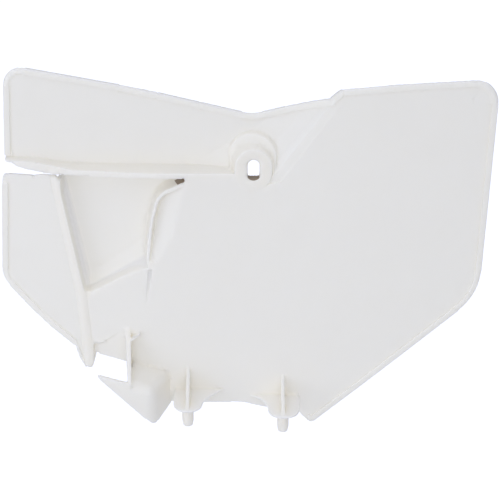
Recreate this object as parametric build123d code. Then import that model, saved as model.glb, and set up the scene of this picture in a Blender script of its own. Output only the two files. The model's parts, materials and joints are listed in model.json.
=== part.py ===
"""Racing number board: the right-hand side number board of a small off-road motorbike, one white moulding.

Millimetres. X runs along the board to the bike's rear, Y points outward from the bike and Z up.
The origin is the centre of the bolt slot, on the seat that rests against the bike.
A level is a height above that seat, inward (-Y).
"""

import os
from math import radians, tan

from build123d import *

# Walls
wall = 2.5
draft = 8.0
rim_width = 4.2
rim_height = 0.9

# Plate: flat round the bolt, leaning outward at the front and curving outward at the rear
plate_level = -0.2
front_bend = -75.0
front_lean = 6.0
bend_radius = 160.0
rear_bend = 20.0
rear_radius = 1800.0

# Arm: the front top zone, sunk below the plate
arm_level = -12.5
arm_lean_front = 1.15
arm_lean_up = 4.6
shoulder_slope = 5.0
crease_slope = 36.0
crease_drop = 1.4
ramp_slope = 20.0
toe_slope = 10.0
toe_drop = 4.5

# Pocket between the front leg and the plate
pocket_level = -17.0
pocket_start = -134.0
pocket_lean = 3.0

# Soft ridge down the front leg, along the pocket's front rim and on to the tooth
ridge_radius = 7.0
ridge_height = 1.2

# Bolt boss: a hood on the arm's skin and the seat's cone on the hood
# Its slot is flat-bottomed beyond the seat
slot_width = 8.0
slot_height = 13.6
seat_radius = 12.4
seat_rise = 5.2
seat_foot = -2.5
seat_edge = 0.8
cone_angle = 20.0
cone_reach = 11.0
hood_place = (0.0, 16.0)
hood_level = -6.0
hood_tilt_x = 0.16
hood_tilt_z = -0.08
hood_radius = 15.2
hood_rise = 10.6
hood_edge = 1.2
collar_radius = 10.0
collar_length = 9.0

# Two pegs on shelves
peg_radius = 4.2
peg_tip_radius = 3.5
peg_length = 16.5
peg_tip = 4.0
peg_reach = 19.0
shelf_wall = 1.8
shelf_reach = 31.5
shelf_half = 11.0
shelf_corner = 10.0
shelf_shoulder = 18.0
cove_size = 2.2
cove_tip = 0.8
cove_setback = 3.0
rib_width = 2.6
rib_setback = 3.0
left_peg = (-47.5, -172.4)
right_peg = (21.4, -177.3)

# Each shelf's half width away from its wing, its wing's reach along the plate, the hollow in the wing's edge
# and the height of the rib
left_shelf = (10.2, 25.3, 1.0, 18.2)
right_shelf = (12.0, 23.5, 3.0, 16.0)

# Hook below the notch: a roof with a rounded front edge, falling to the rear and to the front
hook_level = 25.0
hook_start = -88.0
hook_top = -154.2
hook_fall = 0.31
hook_pitch = 0.19
hook_edge = 8.0
hook_point = 1.0
web_top = -122.5
gusset_z = -132.2
gusset_reach = 6.6
gusset_height = 4.0
gusset_foot = 2.6
gusset_sunk = 1.0

# Round mark that an ejector pin left near the rear top corner
mark_place = (149.1, 49.3)
mark_radius = 2.4
mark_depth = 0.25

# Shared lengths that only have to be long enough
far = 90.0
wide = 300.0
sunk_reach = 24.0


# Outline corners as x, z and fillet radius, from the arm's front end along the top, clockwise from inside
outline_corners = [
    (-172.3, 1.6, 4.0),
    (-167.4, 72.0, 13.0),
    (-77.0, 55.2, 500.0),
    (-1.0, 37.0, 26.0),
    (50.8, 50.2, 3.0),
    (58.4, 57.2, 5.0),
    (100.0, 60.6, 500.0),
    (164.8, 62.9, 16.0),
    (161.2, -97.4, 42.0),
    (42.7, -201.6, 2.5),
    (34.0, -193.4, 4.0),
    (-9.0, -183.7, 60.0),
    (-62.0, -183.7, 6.0),
    (-92.0, -152.5, 1.0),
    (-114.3, -146.8, 1.0),
    (-118.0, -157.3, 1.6),
    (-122.6, -156.5, 2.4),
    (-126.2, -151.0, 4.0),
    (-129.2, -139.8, 3.0),
    (-152.1, -119.2, 90.0),
    (-179.6, -86.6, 18.0),
    (-173.8, -6.4, 4.0),
    (-152.0, -7.0, 3.0),
    (-145.0, -5.9, 2.0),
    (-136.6, -6.2, 1.5),
    (-134.0, -8.8, 1.0),
    (-47.5, -8.8, 1.0),
    (-47.5, -6.4, 1.0),
    (-115.0, -6.4, 60.0),
    (-150.0, -4.6, 40.0),
    (-164.0, -0.6, 4.0),
    (-167.0, 1.6, 1.0),
]

# Mouth of the arm's sunk zone on the plate: along the flange, below the boss, then up behind the crease
arm_corners = [
    (-230.0, 2.4, 0.0),
    (-152.0, 1.8, 15.0),
    (-124.0, -2.6, 30.0),
    (3.0, -2.6, 0.0),
    (6.6, -12.2, 0.0),
    (30.5, -3.7, 0.0),
    (96.0, 105.0, 0.0),
    (96.0, 130.0, 0.0),
    (-230.0, 130.0, 0.0),
]

# Two lines up the rear of the arm: where the shoulder starts to fall, and the crease where it falls steeply
shoulder_foot = (27.7, -4.4)
shoulder_head = (59.5, 50.1)
crease_foot = (7.7, -12.6)
crease_head = (47.9, 41.7)

# Mouth of the pocket: down the front leg, along the plateau and back up the blade
pocket_top = -7.6
pocket_corners = [
    (-134.0, 30.0, 0.0),
    (-134.0, -20.0, 10.0),
    (-120.6, -98.6, 4.5),
    (-83.5, -76.2, 30.0),
    (-74.2, -74.4, 0.0),
    (-75.2, -66.0, 0.0),
    (-71.8, -38.0, 60.0),
    (-66.5, -18.0, 18.0),
    (-46.0, -8.2, 5.0),
    (-46.0, 30.0, 0.0),
]

# The pocket's front and lower walls, each from its foot with the pocket on its left
# The slopes round the wall off towards the floor, each from the depth where it leaves the wall
pocket_walls = [
    ((-134.0, -20.0), (-120.6, -98.6), [(60.0, 4.0), (38.0, 6.5), (18.0, 8.6)]),
    ((-120.6, -98.6), (-83.5, -76.2), [(60.0, 8.0), (38.0, 9.6), (18.0, 10.8)]),
]

# Mouth of the valley behind the blade that the pocket leaves on the plate's front edge, and its two slopes
valley_corners = [
    (-73.5, -69.0, 0.0),
    (-70.2, -40.0, 60.0),
    (-65.1, -20.4, 16.0),
    (-46.6, -11.6, 0.0),
    (-44.0, -14.0, 0.0),
    (-52.0, -52.0, 0.0),
    (-65.0, -72.0, 0.0),
]
valley_corner = (-57.6, -52.0)
valley_head = (-48.0, -14.0)
valley_foot = (-68.0, -70.0)
valley_slope = 24.0

# Mouth of the strip above the notch, which falls away below the plateau's lip
strip_corners = [
    (-117.4, -136.8, 4.5),
    (-110.0, -135.4, 12.0),
    (-92.0, -123.0, 0.0),
    (-92.0, -175.0, 0.0),
    (-117.4, -175.0, 0.0),
]
strip_head = (-94.0, -127.0)
strip_slope_x = 0.16
strip_slope_z = 0.13

# Route of the ridge
ridge_points = [(-136.5, -4.0), (-122.5, -97.0), (-119.8, -140.0), (-120.0, -165.0)]

# Groove between the plateau and the plate
groove_head = (-72.8, -76.0)
groove_foot = (-77.4, -108.0)
groove_width = 3.0
groove_depth = 2.0

# Edges without a rim: the slit, the notch, the hook and the shelves
plain_corners = [
    (-200.0, 5.5),
    (60.0, 5.5),
    (60.0, -120.0),
    (40.0, -190.0),
    (40.0, -215.0),
    (-105.0, -215.0),
    (-128.0, -137.0),
    (-140.0, -100.0),
    (-140.0, -13.0),
    (-200.0, -13.0),
]

# Hook's plan as x, level and fillet radius: its front and its cheek, and the web's plan beside it
hook_plan = [
    (-150.0, hook_level, 0.0),
    (-71.6, hook_level, 9.0),
    (-53.1, -20.0, 0.0),
    (-150.0, -20.0, 0.0),
]
web_plan = [(-92.6, -3.0), (-89.2, hook_level), (-87.0, hook_level), (-88.6, -3.0)]

# Hook's lower edge as x, z and fillet radius, from beyond its point down to its heel and up to its cheek
hook_corners = [
    (-130.0, -128.5, 0.0),
    (-72.0, -189.0, 3.0),
    (-50.0, -180.5, 0.0),
    (-50.0, -120.0, 0.0),
    (-130.0, -120.0, 0.0),
]


def at_level(level):
    """The drawing plane at a level: its x is X, its y is Z and it faces inward."""
    return Plane.XZ.offset(level)


def rounded(corners):
    """A face from corners given as x, z and fillet radius."""
    shape = make_face(Polyline([(x, z) for x, z, _ in corners], close=True))
    for x, z, radius in corners:
        if radius:
            shape = fillet(shape.vertices().sort_by_distance((x, z, 0))[0], radius)
    return shape


def prism(shape, low, high):
    """A drawn face carried from one level to another."""
    return extrude(at_level(low) * shape, amount=high - low)


def above(point, level, slope_x, slope_z):
    """Everything inward of a leaning plane through a point at a level."""
    x, z = point
    lean = Plane(origin=(x, -level, z), z_dir=(-slope_x, -1, -slope_z))
    return lean * Box(4 * wide, 4 * wide, 2 * far, align=(Align.CENTER, Align.CENTER, Align.MIN))


def skin_level(x):
    """The level of the plate's inner skin, its front bend taken as sharp."""
    lean = tan(radians(front_lean)) * min(x - front_bend, 0)
    sag = max(x - rear_bend, 0) ** 2 / (2 * rear_radius)
    return plate_level + lean - sag


def plate_block(drop):
    """Everything outward of the plate's inner skin, with the skin dropped outward."""
    skin = -plate_level + drop
    lean = tan(radians(front_lean))
    run = wide + front_bend
    sag = (wide - rear_bend) ** 2 / (2 * rear_radius)
    front = (-wide, skin + lean * run)
    edge = Polyline([front, (front_bend, skin), (rear_bend, skin)])
    rear = TangentArc([(rear_bend, skin), (wide, skin + sag)], tangent=(1, 0))
    back = Polyline([(wide, skin + sag), (wide, far), (-wide, far), front])
    profile = make_face([edge.edges(), rear.edges(), back.edges()])
    profile = fillet(profile.vertices().sort_by_distance((front_bend, skin, 0))[0], bend_radius)
    return extrude(Pos(0, 0, -wide) * profile, amount=2 * wide)


def sunk(corners, grow):
    """A zone sunk into the plate: its mouth at the plate's level, narrowing outward at the draft."""
    mouth = offset(rounded(corners), grow, kind=Kind.INTERSECTION) if grow else rounded(corners)
    deep = extrude(at_level(plate_level) * mouth, amount=-sunk_reach, taper=draft)
    return deep + prism(mouth, plate_level, far / 2)


def fall_left(foot, head, slope):
    """Rise per x and z of a plane through two places as x, z and level, falling to their line's left."""
    run = Vector(head[0] - foot[0], head[1] - foot[1])
    along = run.normalized()
    rise = (head[2] - foot[2]) / run.length
    fall = tan(radians(slope))
    return rise * along.X + fall * along.Y, rise * along.Y - fall * along.X


def above_slope(foot, head, slope, drop):
    """Everything inward of a plane that falls outward to the left of a line on the plate."""
    low, high = ((x, z, skin_level(x) - drop) for x, z in (foot, head))
    return above(foot, low[2], *fall_left(low, high, slope))


def off_wall(foot, head, slope, depth, drop):
    """Everything inward of a slope that leaves a drafted wall at a depth; foot and head are on its mouth."""
    along = Vector(head[0] - foot[0], head[1] - foot[1]).normalized()
    back = depth * (1 / tan(radians(slope)) - tan(radians(draft)))
    behind = [(x + back * along.Y, z - back * along.X) for x, z in (foot, head)]
    return above_slope(*behind, slope, drop)


def above_crease(drop):
    """Everything inward of the arm's rear: a slight shoulder, the crease, the ramp below it and its toe."""
    low, high = ((x, z, skin_level(x) - drop) for x, z in (shoulder_foot, shoulder_head))
    rise_x, rise_z = fall_left(low, high, shoulder_slope)
    ends = (crease_foot, crease_head)
    foot, head = ((x, z, low[2] + rise_x * (x - low[0]) + rise_z * (z - low[1])) for x, z in ends)
    shoulder = above(shoulder_foot, low[2], rise_x, rise_z)
    crease = above(crease_foot, foot[2], *fall_left(foot, head, crease_slope))
    ramp = above(crease_foot, foot[2] - crease_drop, *fall_left(foot, head, ramp_slope))
    toe_share = 1 - tan(radians(toe_slope)) / tan(radians(ramp_slope))
    toe_level = foot[2] - crease_drop - toe_drop * toe_share
    toe = above(crease_foot, toe_level, *fall_left(foot, head, toe_slope))
    return (shoulder + crease) & ramp & toe


def arm_zone(drop):
    """The arm's sunk zone, down to the arm's skin and the slopes at its rear, each dropped outward."""
    floor = above((0, 0), arm_level - drop, tan(radians(arm_lean_front)), tan(radians(arm_lean_up)))
    return sunk(arm_corners, drop) & floor & above_crease(drop)


def pocket_zone(drop):
    """The pocket between the front leg and the plate, open to the slit above it."""
    floor = above((pocket_start, 0), pocket_level - drop, tan(radians(pocket_lean)), 0)
    below_slit = Pos(0, 0, pocket_top) * Box(
        4 * wide, 4 * wide, wide, align=(Align.CENTER, Align.CENTER, Align.MAX)
    )
    zone = sunk(pocket_corners, drop) & floor & below_slit
    for foot, head, slopes in pocket_walls:
        for slope, depth in slopes:
            zone &= off_wall(foot, head, slope, depth, drop)
    return zone


def valley_zone(drop):
    """The valley behind the blade: two slopes that meet at its deepest corner."""
    upper = above_slope(valley_corner, valley_head, valley_slope, drop)
    lower = above_slope(valley_foot, valley_corner, valley_slope, drop)
    return sunk(valley_corners, drop) & upper & lower


def strip_zone(drop):
    """The strip above the notch, falling away towards its front lower corner."""
    level = skin_level(strip_head[0]) - drop
    return sunk(strip_corners, drop) & above(strip_head, level, strip_slope_x, strip_slope_z)


def ridge():
    """The soft ridge: a round bar sunk into the front leg so that only its crest stands proud."""
    sink = ridge_radius - ridge_height
    places = [Vector(x, sink - skin_level(x), z) for x, z in ridge_points]
    bar = Pos(places[0]) * Sphere(ridge_radius)
    for start, end in zip(places, places[1:]):
        run = end - start
        upright = (Align.CENTER, Align.CENTER, Align.MIN)
        bar += Plane(origin=start, z_dir=run) * Cylinder(ridge_radius, run.length, align=upright)
        bar += Pos(end) * Sphere(ridge_radius)
    return bar


def obround(radius, rise):
    """An upright obround whose lower centre is the seat's foot."""
    return Pos(0, seat_foot + rise / 2) * Rot(0, 0, 90) * SlotCenterToCenter(rise, 2 * radius)


def seat_cone(shrink):
    """The cone from inside the hood up to the seat."""
    seat = at_level(-shrink) * obround(seat_radius - shrink, seat_rise)
    return extrude(seat, amount=-cone_reach, taper=-cone_angle)


def hood(shrink):
    """The arched hood below the cone, from beyond the arm's skin to its leaning top."""
    outline = at_level(-shrink) * obround(hood_radius - shrink, hood_rise)
    arch = extrude(outline, amount=-far / 4, taper=-draft)
    return arch - above(hood_place, hood_level - shrink, hood_tilt_x, hood_tilt_z)


def inner_face(solid):
    """A solid's innermost face."""
    return solid.faces().sort_by(Axis.Y)[0]


def skin_block(plate, boss, drop):
    """Everything outward of a skin: a plate with its zones sunk to the drop, and a boss."""
    return plate - arm_zone(drop) - pocket_zone(drop) - valley_zone(drop) - strip_zone(drop) + boss


def shell():
    """The board's skin, a wall thick inside its outline, with the raised rim along its free edges."""
    cone = fillet(inner_face(seat_cone(0)).edges(), seat_edge)
    arch = fillet(inner_face(hood(0)).edges(), hood_edge)
    inner = skin_block(plate_block(0) + ridge(), arch + cone, 0)
    outer = skin_block(plate_block(wall), hood(wall) + seat_cone(wall), wall)
    outline = rounded(outline_corners)
    band = outline - offset(outline, -rim_width) - make_face(Polyline(plain_corners, close=True))
    rim = prism(band, -far, far) & (Pos(0, -rim_height, 0) * inner)
    return (inner + rim - outer) & prism(outline, -far, far)


def upright_slot(width, height):
    """The bolt slot's outline."""
    return Rot(0, 0, 90) * SlotOverall(height, width)


def bolt_cut():
    """The bolt slot, round-ended through the seat and flat-bottomed beyond it."""
    slot = prism(upright_slot(slot_width, slot_height), -far / 2, far / 2)
    flat = Pos(0, -slot_height / 4) * Rectangle(slot_width, slot_height / 2)
    return slot + prism(flat, -far / 2, -wall)


def collar():
    """The round collar behind the seat, which carries the bolt's head."""
    return prism(Circle(collar_radius), -collar_length, -wall / 2)


def shelf(peg, wing, sizes):
    """One peg with its shelf, rib and coves; the wing is +1 or -1 for the side where the shelf tails off."""
    x, z = peg
    back, reach, hollow, height = sizes
    root = plate_level - wall / 2
    blunt = x - wing * back
    sharp = x + wing * shelf_half
    tail = x + wing * reach
    corners = [(blunt, -shelf_reach), (sharp, -shelf_reach)]
    front = Polyline([(blunt, -root), *corners, (sharp, -shelf_shoulder)])
    middle = ((sharp + tail) / 2 - wing * hollow, -shelf_shoulder / 2)
    swoop = ThreePointArc((sharp, -shelf_shoulder), middle, (tail, -plate_level))
    rear = Polyline([(tail, -plate_level), (tail, -root), (blunt, -root)])
    plan = make_face([front.edges(), swoop.edges(), rear.edges()])
    for corner in corners:
        plan = fillet(plan.vertices().sort_by_distance((*corner, 0))[0], shelf_corner)
    tray = extrude(Pos(0, 0, z - shelf_wall) * plan, amount=shelf_wall)
    pin = Pos(x, -peg_reach, z - shelf_wall / 2) * peg_pin()
    coves = cove(z, root, x, cove_size, blunt, cove_size)
    coves += cove(z, root, x, cove_size, tail - wing * cove_setback, cove_tip)
    return tray + pin + rib(x, z, root, height) + coves


def peg_pin():
    """A round peg with a tapered tip, hanging down from the middle of its shelf's thickness."""
    end = -shelf_wall / 2 - peg_length
    side = Polyline(
        [(0, 0), (peg_radius, 0), (peg_radius, end + peg_tip), (peg_tip_radius, end), (0, end)], close=True
    )
    return revolve(Plane.XZ * make_face(side), Axis.Z)


def rib(x, z, root, height):
    """The upright rib from the plate down to the shelf's front."""
    side = Polyline([(-root, z), (-root, z + height), (rib_setback - shelf_reach, z)], close=True)
    return extrude(Plane.YZ.offset(x - rib_width / 2) * make_face(side), amount=rib_width)


def cove_section(x, z, root, size):
    """The section at x of the hollow fillet between the plate and the shelf."""
    y = -plate_level
    corner = Polyline([(y - size, z), (-root, z), (-root, z + size), (y, z + size)])
    hollow = CenterArc((y - size, z + size), size, -90, 90)
    return Plane.YZ.offset(x) * make_face([corner.edges(), hollow.edges()])


def cove(z, root, start, start_size, end, end_size):
    """A hollow fillet along a shelf that runs from one size to another."""
    return loft([cove_section(start, z, root, start_size), cove_section(end, z, root, end_size)])


def below_roof(drop):
    """Everything below the hook's roof, with the roof dropped down."""
    roof = Plane(origin=(hook_start, -hook_level, hook_top - drop), z_dir=(hook_fall, -hook_pitch, 1))
    return roof * Box(4 * wide, 4 * wide, far, align=(Align.CENTER, Align.CENTER, Align.MAX))


def from_plan(plan):
    """A plan carried upright through the hook's whole height."""
    return extrude(Pos(0, 0, hook_top - far) * plan, amount=2 * far)


def round_roof(block, radius):
    """A block with its roof's edges rounded, but for the one at its front end and the one at the board."""
    edges = block.faces().sort_by(Axis.Z)[-1].edges().sort_by(Axis.X)[1:]
    return fillet(edges.sort_by(Axis.Y)[:-1], radius)


def hook():
    """The hook: a roof with a rounded skirt, the point that runs on to the front and the web above."""
    root = skin_level(hook_start) - wall / 4
    plan = rounded([(x, -level, radius) for x, level, radius in hook_plan])
    hollow = round_roof(from_plan(offset(plan, -wall)) & below_roof(wall), hook_edge - wall)
    whole = Rectangle(4 * wide, 4 * wide)
    inward = prism(whole, root, far)
    rearward = prism(Pos(hook_start + 2 * wide, 0) * whole, -far, far)
    block = from_plan(plan) & below_roof(0) & inward
    lower = prism(rounded(hook_corners), -far, far)
    tub = (round_roof(block & rearward, hook_edge) - hollow) & lower
    point = (block - rearward - hollow) & lower & prism(whole, hook_level - wall, far)
    point = fillet(point.edges().sort_by(Axis.X)[0], hook_point)
    return tub + point + web(root)


def web(root):
    """The upright web from the plate down to the hook's roof, thinner to its front."""
    plan = make_face(Polyline([(x, -level) for x, level in web_plan], close=True))
    foot = hook_top - wall
    corners = [(-root, web_top), (-hook_level, hook_top), (-hook_level, foot), (-root, foot)]
    side = Polyline(corners, close=True)
    across = extrude(Plane.YZ.offset(-wide) * make_face(side), amount=2 * wide)
    return from_plan(plan) & across


def foot_gusset():
    """The small gusset beside the top of the hook's web."""
    inside = hook_start - gusset_sunk
    corners = [
        (inside, gusset_z),
        (hook_start + gusset_reach, gusset_z + gusset_reach),
        (inside, gusset_z + gusset_foot),
    ]
    shape = make_face(Polyline(corners, close=True))
    return prism(shape, plate_level - 2 * wall, plate_level + gusset_height)


def groove():
    """The groove that fades out between the plateau and the plate."""
    head_x, head_z = groove_head
    foot_x, foot_z = groove_foot
    half = groove_width / 2
    corners = [(head_x - half, head_z), (head_x + half, head_z), (foot_x, foot_z)]
    shape = make_face(Polyline(corners, close=True))
    slope = groove_depth / (foot_z - head_z)
    return prism(shape, -far / 2, far / 2) & above(groove_head, plate_level - groove_depth, 0, slope)


def ejector_mark():
    """The shallow round mark, sunk into the curving rear of the plate."""
    x, z = mark_place
    return prism(Pos(x, z) * Circle(mark_radius), skin_level(x) - mark_depth, far / 2)


def number_board():
    """The whole moulding."""
    board = shell() + collar() - bolt_cut()
    board = board + shelf(left_peg, 1, left_shelf) + shelf(right_peg, -1, right_shelf)
    return board + hook() + foot_gusset() - groove() - ejector_mark()


if __name__ == "__main__":
    os.makedirs("parts", exist_ok=True)
    export_step(number_board(), "parts/number_board.step")
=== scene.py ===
"""Racing number board: the moulded board's soft edges and white plastic, and its studio."""

import json
from math import cos, radians, sin

import bmesh
import bpy
from bpy.props import FloatProperty, FloatVectorProperty, IntProperty, PointerProperty
from bpy.types import Operator, Panel, PropertyGroup
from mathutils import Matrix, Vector
from mathutils.kdtree import KDTree

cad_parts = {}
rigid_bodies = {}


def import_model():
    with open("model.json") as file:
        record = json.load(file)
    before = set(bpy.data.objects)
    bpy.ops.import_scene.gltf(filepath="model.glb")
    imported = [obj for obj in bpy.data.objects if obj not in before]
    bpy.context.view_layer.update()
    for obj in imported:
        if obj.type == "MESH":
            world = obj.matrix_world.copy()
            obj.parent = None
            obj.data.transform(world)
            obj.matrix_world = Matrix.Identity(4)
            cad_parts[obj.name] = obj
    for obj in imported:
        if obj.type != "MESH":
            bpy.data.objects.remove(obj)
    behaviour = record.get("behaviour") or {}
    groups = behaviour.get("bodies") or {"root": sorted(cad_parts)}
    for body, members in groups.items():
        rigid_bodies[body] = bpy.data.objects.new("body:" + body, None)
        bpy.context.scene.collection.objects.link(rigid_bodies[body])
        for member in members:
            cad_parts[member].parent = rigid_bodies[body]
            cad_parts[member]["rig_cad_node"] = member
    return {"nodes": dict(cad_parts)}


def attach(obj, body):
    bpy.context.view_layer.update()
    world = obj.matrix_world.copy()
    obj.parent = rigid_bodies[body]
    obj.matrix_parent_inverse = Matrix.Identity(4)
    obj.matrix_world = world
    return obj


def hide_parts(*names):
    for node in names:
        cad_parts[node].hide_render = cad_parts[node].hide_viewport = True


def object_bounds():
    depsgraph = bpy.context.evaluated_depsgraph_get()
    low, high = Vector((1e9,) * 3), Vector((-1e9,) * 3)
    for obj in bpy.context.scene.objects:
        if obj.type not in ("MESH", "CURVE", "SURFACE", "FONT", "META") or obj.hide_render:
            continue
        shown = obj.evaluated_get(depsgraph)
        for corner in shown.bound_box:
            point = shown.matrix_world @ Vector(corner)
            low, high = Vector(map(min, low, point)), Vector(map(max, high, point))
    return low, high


bl_info = {
    "name": "Racing number board",
    "version": (1, 0, 0),
    "blender": (4, 5, 0),
    "location": "View3D > Sidebar > Number board",
    "description": "Dresses the moulded number board and sets up its studio",
    "category": "Object",
}

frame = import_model()
cad_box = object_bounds()

# Boxes round the walls where deep shade is painted brown, in the bolt slot and at the slit's end: centre
# and half size
painted_shade_walls = (
    ((0.0, 0.0049, -0.0056), (0.0041, 0.0042, 0.0026)),
    ((-0.053, 0.0052, -0.0085), (0.007, 0.004, 0.0025)),
)

# Point that the lamps face, and each lamp's place and size
lamp_target = (0.0, 0.0, -0.05)
front_lamp_place = (0.0, -1.6, 0.25)
front_lamp_size = (1.6, 1.0)
left_lamp_place = (-1.3, -0.8, 0.0)
left_lamp_size = (0.8, 0.8)


class BoardSettings(PropertyGroup):
    """Sizes and finish of the moulding."""

    weld: FloatProperty(
        name="Weld distance",
        description="Corners of the model closer than this become one",
        default=0.00001,
        precision=6,
        unit="LENGTH",
    )
    flat_angle: FloatProperty(
        name="Flat angle",
        description="Faces that meet at less than this are one flat face",
        default=radians(0.2),
        subtype="ANGLE",
    )
    edge_angle: FloatProperty(
        name="Edge angle",
        description="Edges sharper than this are rounded as the mould rounds them",
        default=radians(14.0),
        subtype="ANGLE",
    )
    edge_facet: FloatProperty(
        name="Edge facet",
        description="Longest facet beside an edge that is rounded",
        default=0.0008,
        precision=5,
        unit="LENGTH",
    )
    facet_growth: FloatProperty(
        name="Facet growth",
        description="How fast the facets may grow away from an edge",
        default=1.5,
        min=0.2,
    )
    edge_reach: FloatProperty(
        name="Edge reach",
        description="How far from an edge the rounding reaches",
        default=0.0014,
        precision=5,
        unit="LENGTH",
    )
    edge_rounds: IntProperty(
        name="Edge rounds",
        description="How often the facets beside an edge are relaxed",
        default=3,
        min=1,
        max=20,
    )
    facets_kept: FloatProperty(
        name="Facets kept",
        description="Share of the facets that stay when the flat ones are joined again",
        default=0.55,
        min=0.05,
        max=1.0,
    )
    plastic_colour: FloatVectorProperty(
        name="Plastic",
        description="Colour of the bare white plastic",
        default=(0.915, 0.875, 0.78),
        size=3,
        subtype="COLOR",
        min=0.0,
        max=1.0,
    )
    flow_colour: FloatVectorProperty(
        name="Flow marks",
        description="Slightly greyer tone in the cloudy marks where the plastic flowed",
        default=(0.91, 0.87, 0.775),
        size=3,
        subtype="COLOR",
        min=0.0,
        max=1.0,
    )
    # Colour of the painted shade: the deep shade on the bolt slot's lower wall and at the slit's end is
    # painted in this brown.
    painted_shade_colour: FloatVectorProperty(
        name="Painted shade",
        description="Brown tone of the shaded walls in the bolt slot and at the slit's end",
        default=(0.34, 0.27, 0.195),
        size=3,
        subtype="COLOR",
        min=0.0,
        max=1.0,
    )
    roughness: FloatProperty(
        name="Roughness",
        description="Roughness of the satin skin between the flow marks",
        default=0.43,
        min=0.0,
        max=1.0,
    )
    dull_spread: FloatProperty(
        name="Dull spread",
        description="How much rougher the skin is in the cloudy flow marks",
        default=0.08,
        min=0.0,
        max=0.5,
    )
    depth: FloatProperty(
        name="Light depth",
        description="How far light travels inside the plastic",
        default=0.004,
        precision=4,
        unit="LENGTH",
    )
    flow_scale: FloatProperty(
        name="Flow scale",
        description="How many cloudy flow marks lie along a metre",
        default=18.0,
        min=0.1,
    )
    grain_size: FloatProperty(
        name="Grain size",
        description="Spacing of the mould's fine grain",
        default=0.0007,
        precision=5,
        unit="LENGTH",
    )
    grain_depth: FloatProperty(
        name="Grain depth",
        description="Depth of the mould's fine grain",
        default=0.00002,
        precision=6,
        unit="LENGTH",
    )


class StudioSettings(PropertyGroup):
    """Camera, floor and light."""

    lens: FloatProperty(
        name="Lens",
        description="Focal length of the camera in millimetres",
        default=100.0,
        subtype="DISTANCE_CAMERA",
    )
    sensor: FloatProperty(
        name="Sensor",
        description="Width of the camera's sensor in millimetres",
        default=36.0,
        subtype="DISTANCE_CAMERA",
    )
    distance: FloatProperty(
        name="Distance",
        description="From the camera to the point that it aims at",
        default=0.9722,
        unit="LENGTH",
    )
    elevation: FloatProperty(
        name="Elevation",
        description="How far the camera looks down",
        default=radians(25.0),
        subtype="ANGLE",
    )
    aim: FloatVectorProperty(
        name="Aim",
        description="Point in the middle of the picture",
        default=(-0.002455, 0.0, -0.05977),
        size=3,
        subtype="XYZ",
        unit="LENGTH",
    )
    floor_gap: FloatProperty(
        name="Floor gap",
        description="From the lowest peg down to the floor",
        default=0.16,
        unit="LENGTH",
    )
    floor_side: FloatProperty(
        name="Floor side",
        description="Side of the square floor",
        default=9.0,
        unit="LENGTH",
    )
    floor_glow: FloatProperty(
        name="Floor glow",
        description="Brightness of the pale sweep as the board sees it",
        default=0.72,
        min=0.0,
    )
    floor_white: FloatProperty(
        name="Floor white",
        description="Brightness of the background as the picture shows it, burnt out to white",
        default=1.25,
        min=0.0,
    )
    light_colour: FloatVectorProperty(
        name="Light",
        description="Cool tone of the lamps, of the wide light from overhead and of the sweep",
        default=(0.856, 0.883, 1.0),
        size=3,
        subtype="COLOR",
        min=0.0,
        max=1.0,
    )
    sky_strength: FloatProperty(
        name="Surroundings strength",
        description="Strength of the wide light straight overhead, which fades to nothing at the horizon",
        default=1.19,
        min=0.0,
    )
    front_power: FloatProperty(
        name="Front lamp",
        description="Power of the large lamp beside the camera, in watts",
        default=9.1,
        min=0.0,
    )
    left_power: FloatProperty(
        name="Left lamp",
        description="Power of the lamp on the left, in watts",
        default=4.6,
        min=0.0,
    )


def add_node(tree, kind, **values):
    """A new shader node with its properties set."""
    node = tree.nodes.new(kind)
    for name, value in values.items():
        setattr(node, name, value)
    return node


def mould_grain_group():
    """The fine grain and cloudy flow that the mould leaves, as a height and a mask."""
    group = bpy.data.node_groups.new("mould_grain", "ShaderNodeTree")
    sockets = group.interface
    sockets.new_socket("Vector", in_out="INPUT", socket_type="NodeSocketVector")
    sockets.new_socket("Grain scale", in_out="INPUT", socket_type="NodeSocketFloat")
    sockets.new_socket("Flow scale", in_out="INPUT", socket_type="NodeSocketFloat")
    sockets.new_socket("Height", in_out="OUTPUT", socket_type="NodeSocketFloat")
    sockets.new_socket("Flow", in_out="OUTPUT", socket_type="NodeSocketFloat")
    source = add_node(group, "NodeGroupInput")
    result = add_node(group, "NodeGroupOutput")
    grain = add_node(group, "ShaderNodeTexNoise", noise_dimensions="3D")
    grain.inputs["Detail"].default_value = 2.0
    grain.inputs["Roughness"].default_value = 0.55
    flow = add_node(group, "ShaderNodeTexNoise", noise_dimensions="3D")
    flow.inputs["Detail"].default_value = 3.0
    flow.inputs["Distortion"].default_value = 0.6
    spread = add_node(group, "ShaderNodeMapRange", interpolation_type="SMOOTHSTEP")
    spread.inputs["From Min"].default_value = 0.35
    spread.inputs["From Max"].default_value = 0.68
    link = group.links.new
    link(source.outputs["Vector"], grain.inputs["Vector"])
    link(source.outputs["Grain scale"], grain.inputs["Scale"])
    link(source.outputs["Vector"], flow.inputs["Vector"])
    link(source.outputs["Flow scale"], flow.inputs["Scale"])
    link(flow.outputs["Fac"], spread.inputs["Value"])
    link(grain.outputs["Fac"], result.inputs["Height"])
    link(spread.outputs["Result"], result.inputs["Flow"])
    return group


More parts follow.
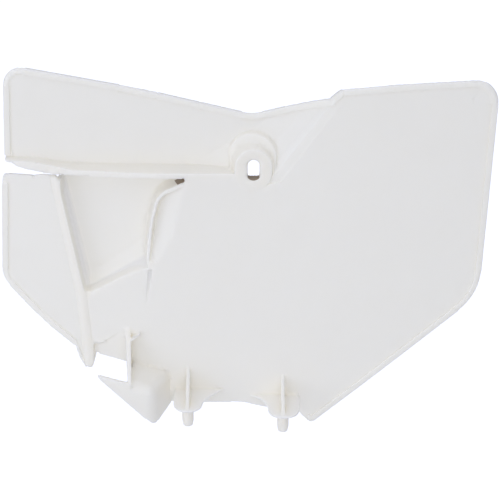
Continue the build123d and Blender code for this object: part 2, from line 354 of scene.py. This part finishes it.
def box_mask_group():
    """A mask that is one inside a box and nothing outside it."""
    group = bpy.data.node_groups.new("box_mask", "ShaderNodeTree")
    for name in ("Vector", "Centre", "Half size"):
        group.interface.new_socket(name, in_out="INPUT", socket_type="NodeSocketVector")
    group.interface.new_socket("Mask", in_out="OUTPUT", socket_type="NodeSocketFloat")
    source = add_node(group, "NodeGroupInput")
    result = add_node(group, "NodeGroupOutput")
    offset = add_node(group, "ShaderNodeVectorMath", operation="SUBTRACT")
    share = add_node(group, "ShaderNodeVectorMath", operation="DIVIDE")
    size = add_node(group, "ShaderNodeVectorMath", operation="ABSOLUTE")
    parts = add_node(group, "ShaderNodeSeparateXYZ")
    wider = add_node(group, "ShaderNodeMath", operation="MAXIMUM")
    widest = add_node(group, "ShaderNodeMath", operation="MAXIMUM")
    inside = add_node(group, "ShaderNodeMath", operation="LESS_THAN")
    inside.inputs[1].default_value = 1.0
    link = group.links.new
    link(source.outputs["Vector"], offset.inputs[0])
    link(source.outputs["Centre"], offset.inputs[1])
    link(offset.outputs["Vector"], share.inputs[0])
    link(source.outputs["Half size"], share.inputs[1])
    link(share.outputs["Vector"], size.inputs[0])
    link(size.outputs["Vector"], parts.inputs["Vector"])
    link(parts.outputs["X"], wider.inputs[0])
    link(parts.outputs["Y"], wider.inputs[1])
    link(wider.outputs["Value"], widest.inputs[0])
    link(parts.outputs["Z"], widest.inputs[1])
    link(widest.outputs["Value"], inside.inputs[0])
    link(inside.outputs["Value"], result.inputs["Mask"])
    return group


def white_plastic(settings):
    """Bare white moulded plastic with a satin, faintly grained skin, and brown painted shade on two walls
    in the bolt slot and at the slit's end.
    """
    material = bpy.data.materials.new("white_plastic")
    material.use_nodes = True
    tree = material.node_tree
    shader = tree.nodes["Principled BSDF"]
    place = add_node(tree, "ShaderNodeTexCoord")
    skin = add_node(tree, "ShaderNodeGroup", node_tree=mould_grain_group())
    skin.inputs["Grain scale"].default_value = 1.0 / settings.grain_size
    skin.inputs["Flow scale"].default_value = settings.flow_scale
    tone = add_node(tree, "ShaderNodeMix", data_type="RGBA")
    tone.inputs["A"].default_value = (*settings.plastic_colour, 1.0)
    tone.inputs["B"].default_value = (*settings.flow_colour, 1.0)
    # Painted shade: inside the two boxes the plastic's colour is replaced by the brown of the painted
    # shade.
    shade_mask = add_node(tree, "ShaderNodeMath", operation="MAXIMUM")
    shaded_tone = add_node(tree, "ShaderNodeMix", data_type="RGBA")
    shaded_tone.inputs["B"].default_value = (*settings.painted_shade_colour, 1.0)
    gloss = add_node(tree, "ShaderNodeMapRange")
    gloss.inputs["To Min"].default_value = settings.roughness
    gloss.inputs["To Max"].default_value = settings.roughness + settings.dull_spread
    bump = add_node(tree, "ShaderNodeBump")
    bump.inputs["Distance"].default_value = settings.grain_depth
    bump.inputs["Strength"].default_value = 1.0
    link = tree.links.new
    link(place.outputs["Object"], skin.inputs["Vector"])
    link(skin.outputs["Flow"], tone.inputs["Factor"])
    box_mask = box_mask_group()
    for number, (centre, half_size) in enumerate(painted_shade_walls):
        wall = add_node(tree, "ShaderNodeGroup", node_tree=box_mask)
        wall.inputs["Centre"].default_value = centre
        wall.inputs["Half size"].default_value = half_size
        link(place.outputs["Object"], wall.inputs["Vector"])
        link(wall.outputs["Mask"], shade_mask.inputs[number])
    link(tone.outputs["Result"], shaded_tone.inputs["A"])
    link(shade_mask.outputs["Value"], shaded_tone.inputs["Factor"])
    link(shaded_tone.outputs["Result"], shader.inputs["Base Color"])
    link(skin.outputs["Flow"], gloss.inputs["Value"])
    link(gloss.outputs["Result"], shader.inputs["Roughness"])
    link(skin.outputs["Height"], bump.inputs["Height"])
    link(bump.outputs["Normal"], shader.inputs["Normal"])
    shader.inputs["IOR"].default_value = 1.49
    shader.inputs["Specular IOR Level"].default_value = 0.4
    shader.inputs["Subsurface Weight"].default_value = 1.0
    shader.inputs["Subsurface Radius"].default_value = (1.0, 1.0, 1.0)
    shader.inputs["Subsurface Scale"].default_value = settings.depth
    return material


def only_select(piece):
    """Makes a piece the only one selected, and the active one."""
    bpy.ops.object.select_all(action="DESELECT")
    piece.select_set(True)
    bpy.context.view_layer.objects.active = piece


def edge_tree(edges, spacing):
    """A search tree of places along edges."""
    places = []
    for edge in edges:
        start, end = (corner.co for corner in edge.verts)
        steps = max(1, round(edge.calc_length() / spacing))
        places.extend(start.lerp(end, step / steps) for step in range(steps + 1))
    tree = KDTree(len(places))
    for number, place in enumerate(places):
        tree.insert(place, number)
    tree.balance()
    return tree


def coarse_edges(mesh, tree, settings):
    """The edges that are too long for their distance from the edges to be rounded."""
    found = []
    for edge in mesh.edges:
        length = edge.calc_length()
        if length > settings.edge_facet:
            middle = (edge.verts[0].co + edge.verts[1].co) / 2
            away = tree.find(middle)[2]
            if length > settings.edge_facet + settings.facet_growth * away:
                found.append(edge)
    return found


def round_edges(board, settings):
    """Rounds the moulding's edges: the mesh is refined beside them and relaxed there."""
    mesh = bmesh.new()
    mesh.from_mesh(board.data)
    bmesh.ops.remove_doubles(mesh, verts=mesh.verts, dist=settings.weld)
    bmesh.ops.dissolve_limit(mesh, angle_limit=settings.flat_angle, verts=mesh.verts, edges=mesh.edges)
    bmesh.ops.triangulate(mesh, faces=mesh.faces)
    sharp = [edge for edge in mesh.edges if edge.calc_face_angle(0.0) > settings.edge_angle]
    tree = edge_tree(sharp, settings.edge_facet / 2)
    coarse = coarse_edges(mesh, tree, settings)
    while coarse:
        bmesh.ops.subdivide_edges(mesh, edges=coarse, cuts=1, use_single_edge=True)
        bmesh.ops.triangulate(mesh, faces=[face for face in mesh.faces if len(face.verts) > 3])
        coarse = coarse_edges(mesh, tree, settings)
    near = [corner for corner in mesh.verts if tree.find(corner.co)[2] < settings.edge_reach]
    axes = {"use_axis_x": True, "use_axis_y": True, "use_axis_z": True}
    for _ in range(settings.edge_rounds):
        bmesh.ops.smooth_vert(mesh, verts=near, factor=0.5, **axes)
    mesh.to_mesh(board.data)
    mesh.free()


class NUMBERBOARD_OT_board(Operator):
    """Rounds the moulding's edges and gives it its white plastic"""

    bl_idname = "number_board.board"
    bl_label = "Moulded board"

    def execute(self, context):
        settings = context.scene.board_settings
        only_select(frame["nodes"]["number_board"])
        bpy.ops.object.duplicate()
        board = context.active_object
        board.name = "moulded_board"
        del board["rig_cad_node"]
        round_edges(board, settings)
        thin = board.modifiers.new("joined_facets", "DECIMATE")
        thin.ratio = settings.facets_kept
        bpy.ops.object.modifier_apply(modifier=thin.name)
        bpy.ops.object.shade_smooth()
        level = board.modifiers.new("flat_faces", "WEIGHTED_NORMAL")
        level.weight = 80
        bpy.ops.object.modifier_apply(modifier=level.name)
        board.data.materials.clear()
        board.data.materials.append(white_plastic(settings))
        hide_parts("number_board")
        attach(board, "root")
        return {"FINISHED"}


def area_light(name, place, target, size, power, colour):
    """Adds a large rectangular light that faces a target."""
    bpy.ops.object.light_add(type="AREA", location=place)
    light = bpy.context.active_object
    light.name = name
    light.rotation_euler = (Vector(target) - Vector(place)).to_track_quat("-Z", "Y").to_euler()
    light.data.shape = "RECTANGLE"
    light.data.size = size[0]
    light.data.size_y = size[1]
    light.data.energy = power
    light.data.color = colour


class NUMBERBOARD_OT_stage(Operator):
    """Sets up the pale floor, the soft lights and the camera"""

    bl_idname = "number_board.stage"
    bl_label = "Studio"

    def execute(self, context):
        settings = context.scene.studio_settings
        self.add_floor(settings)
        self.add_lights(context, settings)
        self.add_camera(context, settings)
        return {"FINISHED"}

    def add_floor(self, settings):
        lowest = cad_box[0][2]
        bpy.ops.mesh.primitive_plane_add(
            size=settings.floor_side, location=(0.0, 0.0, lowest - settings.floor_gap)
        )
        floor = bpy.context.active_object
        floor.name = "floor"
        floor.data.materials.append(self.sweep_material(settings))

    def sweep_material(self, settings):
        material = bpy.data.materials.new("pale_sweep")
        material.use_nodes = True
        tree = material.node_tree
        tree.nodes.clear()
        ray = add_node(tree, "ShaderNodeLightPath")
        level = add_node(tree, "ShaderNodeMapRange")
        level.inputs["To Min"].default_value = settings.floor_glow
        level.inputs["To Max"].default_value = settings.floor_white
        glow = add_node(tree, "ShaderNodeEmission")
        glow.inputs["Color"].default_value = (*settings.light_colour, 1.0)
        result = add_node(tree, "ShaderNodeOutputMaterial")
        tree.links.new(ray.outputs["Is Camera Ray"], level.inputs["Value"])
        tree.links.new(level.outputs["Result"], glow.inputs["Strength"])
        tree.links.new(glow.outputs["Emission"], result.inputs["Surface"])
        return material

    def add_lights(self, context, settings):
        self.add_surroundings(context, settings)
        for name, place, size, power in (
            ("front_lamp", front_lamp_place, front_lamp_size, settings.front_power),
            ("left_lamp", left_lamp_place, left_lamp_size, settings.left_power),
        ):
            area_light(name, place, lamp_target, size, power, settings.light_colour)

    def add_surroundings(self, context, settings):
        world = bpy.data.worlds.new("studio")
        world.use_nodes = True
        tree = world.node_tree
        backdrop = tree.nodes["Background"]
        backdrop.inputs["Color"].default_value = (*settings.light_colour, 1.0)
        place = add_node(tree, "ShaderNodeTexCoord")
        parts = add_node(tree, "ShaderNodeSeparateXYZ")
        fade = add_node(tree, "ShaderNodeMapRange")
        fade.inputs["To Max"].default_value = settings.sky_strength
        ray = add_node(tree, "ShaderNodeLightPath")
        white = add_node(tree, "ShaderNodeMath", operation="MULTIPLY")
        white.inputs[1].default_value = settings.floor_white
        level = add_node(tree, "ShaderNodeMath", operation="MAXIMUM")
        link = tree.links.new
        link(place.outputs["Generated"], parts.inputs["Vector"])
        link(parts.outputs["Z"], fade.inputs["Value"])
        link(ray.outputs["Is Camera Ray"], white.inputs[0])
        link(fade.outputs["Result"], level.inputs[0])
        link(white.outputs["Value"], level.inputs[1])
        link(level.outputs["Value"], backdrop.inputs["Strength"])
        context.scene.world = world
        context.scene.view_settings.view_transform = "Standard"

    def add_camera(self, context, settings):
        aim = Vector(settings.aim)
        back = Vector((0.0, -cos(settings.elevation), sin(settings.elevation)))
        bpy.ops.object.camera_add(location=aim + back * settings.distance)
        camera = context.active_object
        camera.name = "camera"
        camera.rotation_euler = (-back).to_track_quat("-Z", "Y").to_euler()
        camera.data.lens = settings.lens
        camera.data.sensor_width = settings.sensor
        context.scene.camera = camera


class NUMBERBOARD_PT_panel(Panel):
    """The number board's tools"""

    bl_idname = "NUMBERBOARD_PT_panel"
    bl_label = "Number board"
    bl_space_type = "VIEW_3D"
    bl_region_type = "UI"
    bl_category = "Number board"

    def draw(self, context):
        for operator, settings in (
            (NUMBERBOARD_OT_board, context.scene.board_settings),
            (NUMBERBOARD_OT_stage, context.scene.studio_settings),
        ):
            box = self.layout.box()
            box.operator(operator.bl_idname)
            for name in settings.__annotations__:
                box.prop(settings, name)


classes = (
    BoardSettings,
    StudioSettings,
    NUMBERBOARD_OT_board,
    NUMBERBOARD_OT_stage,
    NUMBERBOARD_PT_panel,
)


def register():
    """Registers the classes and their settings."""
    for item in classes:
        bpy.utils.register_class(item)
    bpy.types.Scene.board_settings = PointerProperty(type=BoardSettings)
    bpy.types.Scene.studio_settings = PointerProperty(type=StudioSettings)


def unregister():
    """Removes the settings and the classes."""
    del bpy.types.Scene.studio_settings
    del bpy.types.Scene.board_settings
    for item in reversed(classes):
        bpy.utils.unregister_class(item)


def main():
    """Builds the pieces and the stage."""
    register()
    bpy.ops.number_board.board()
    bpy.ops.number_board.stage()


if __name__ == "__main__":
    main()
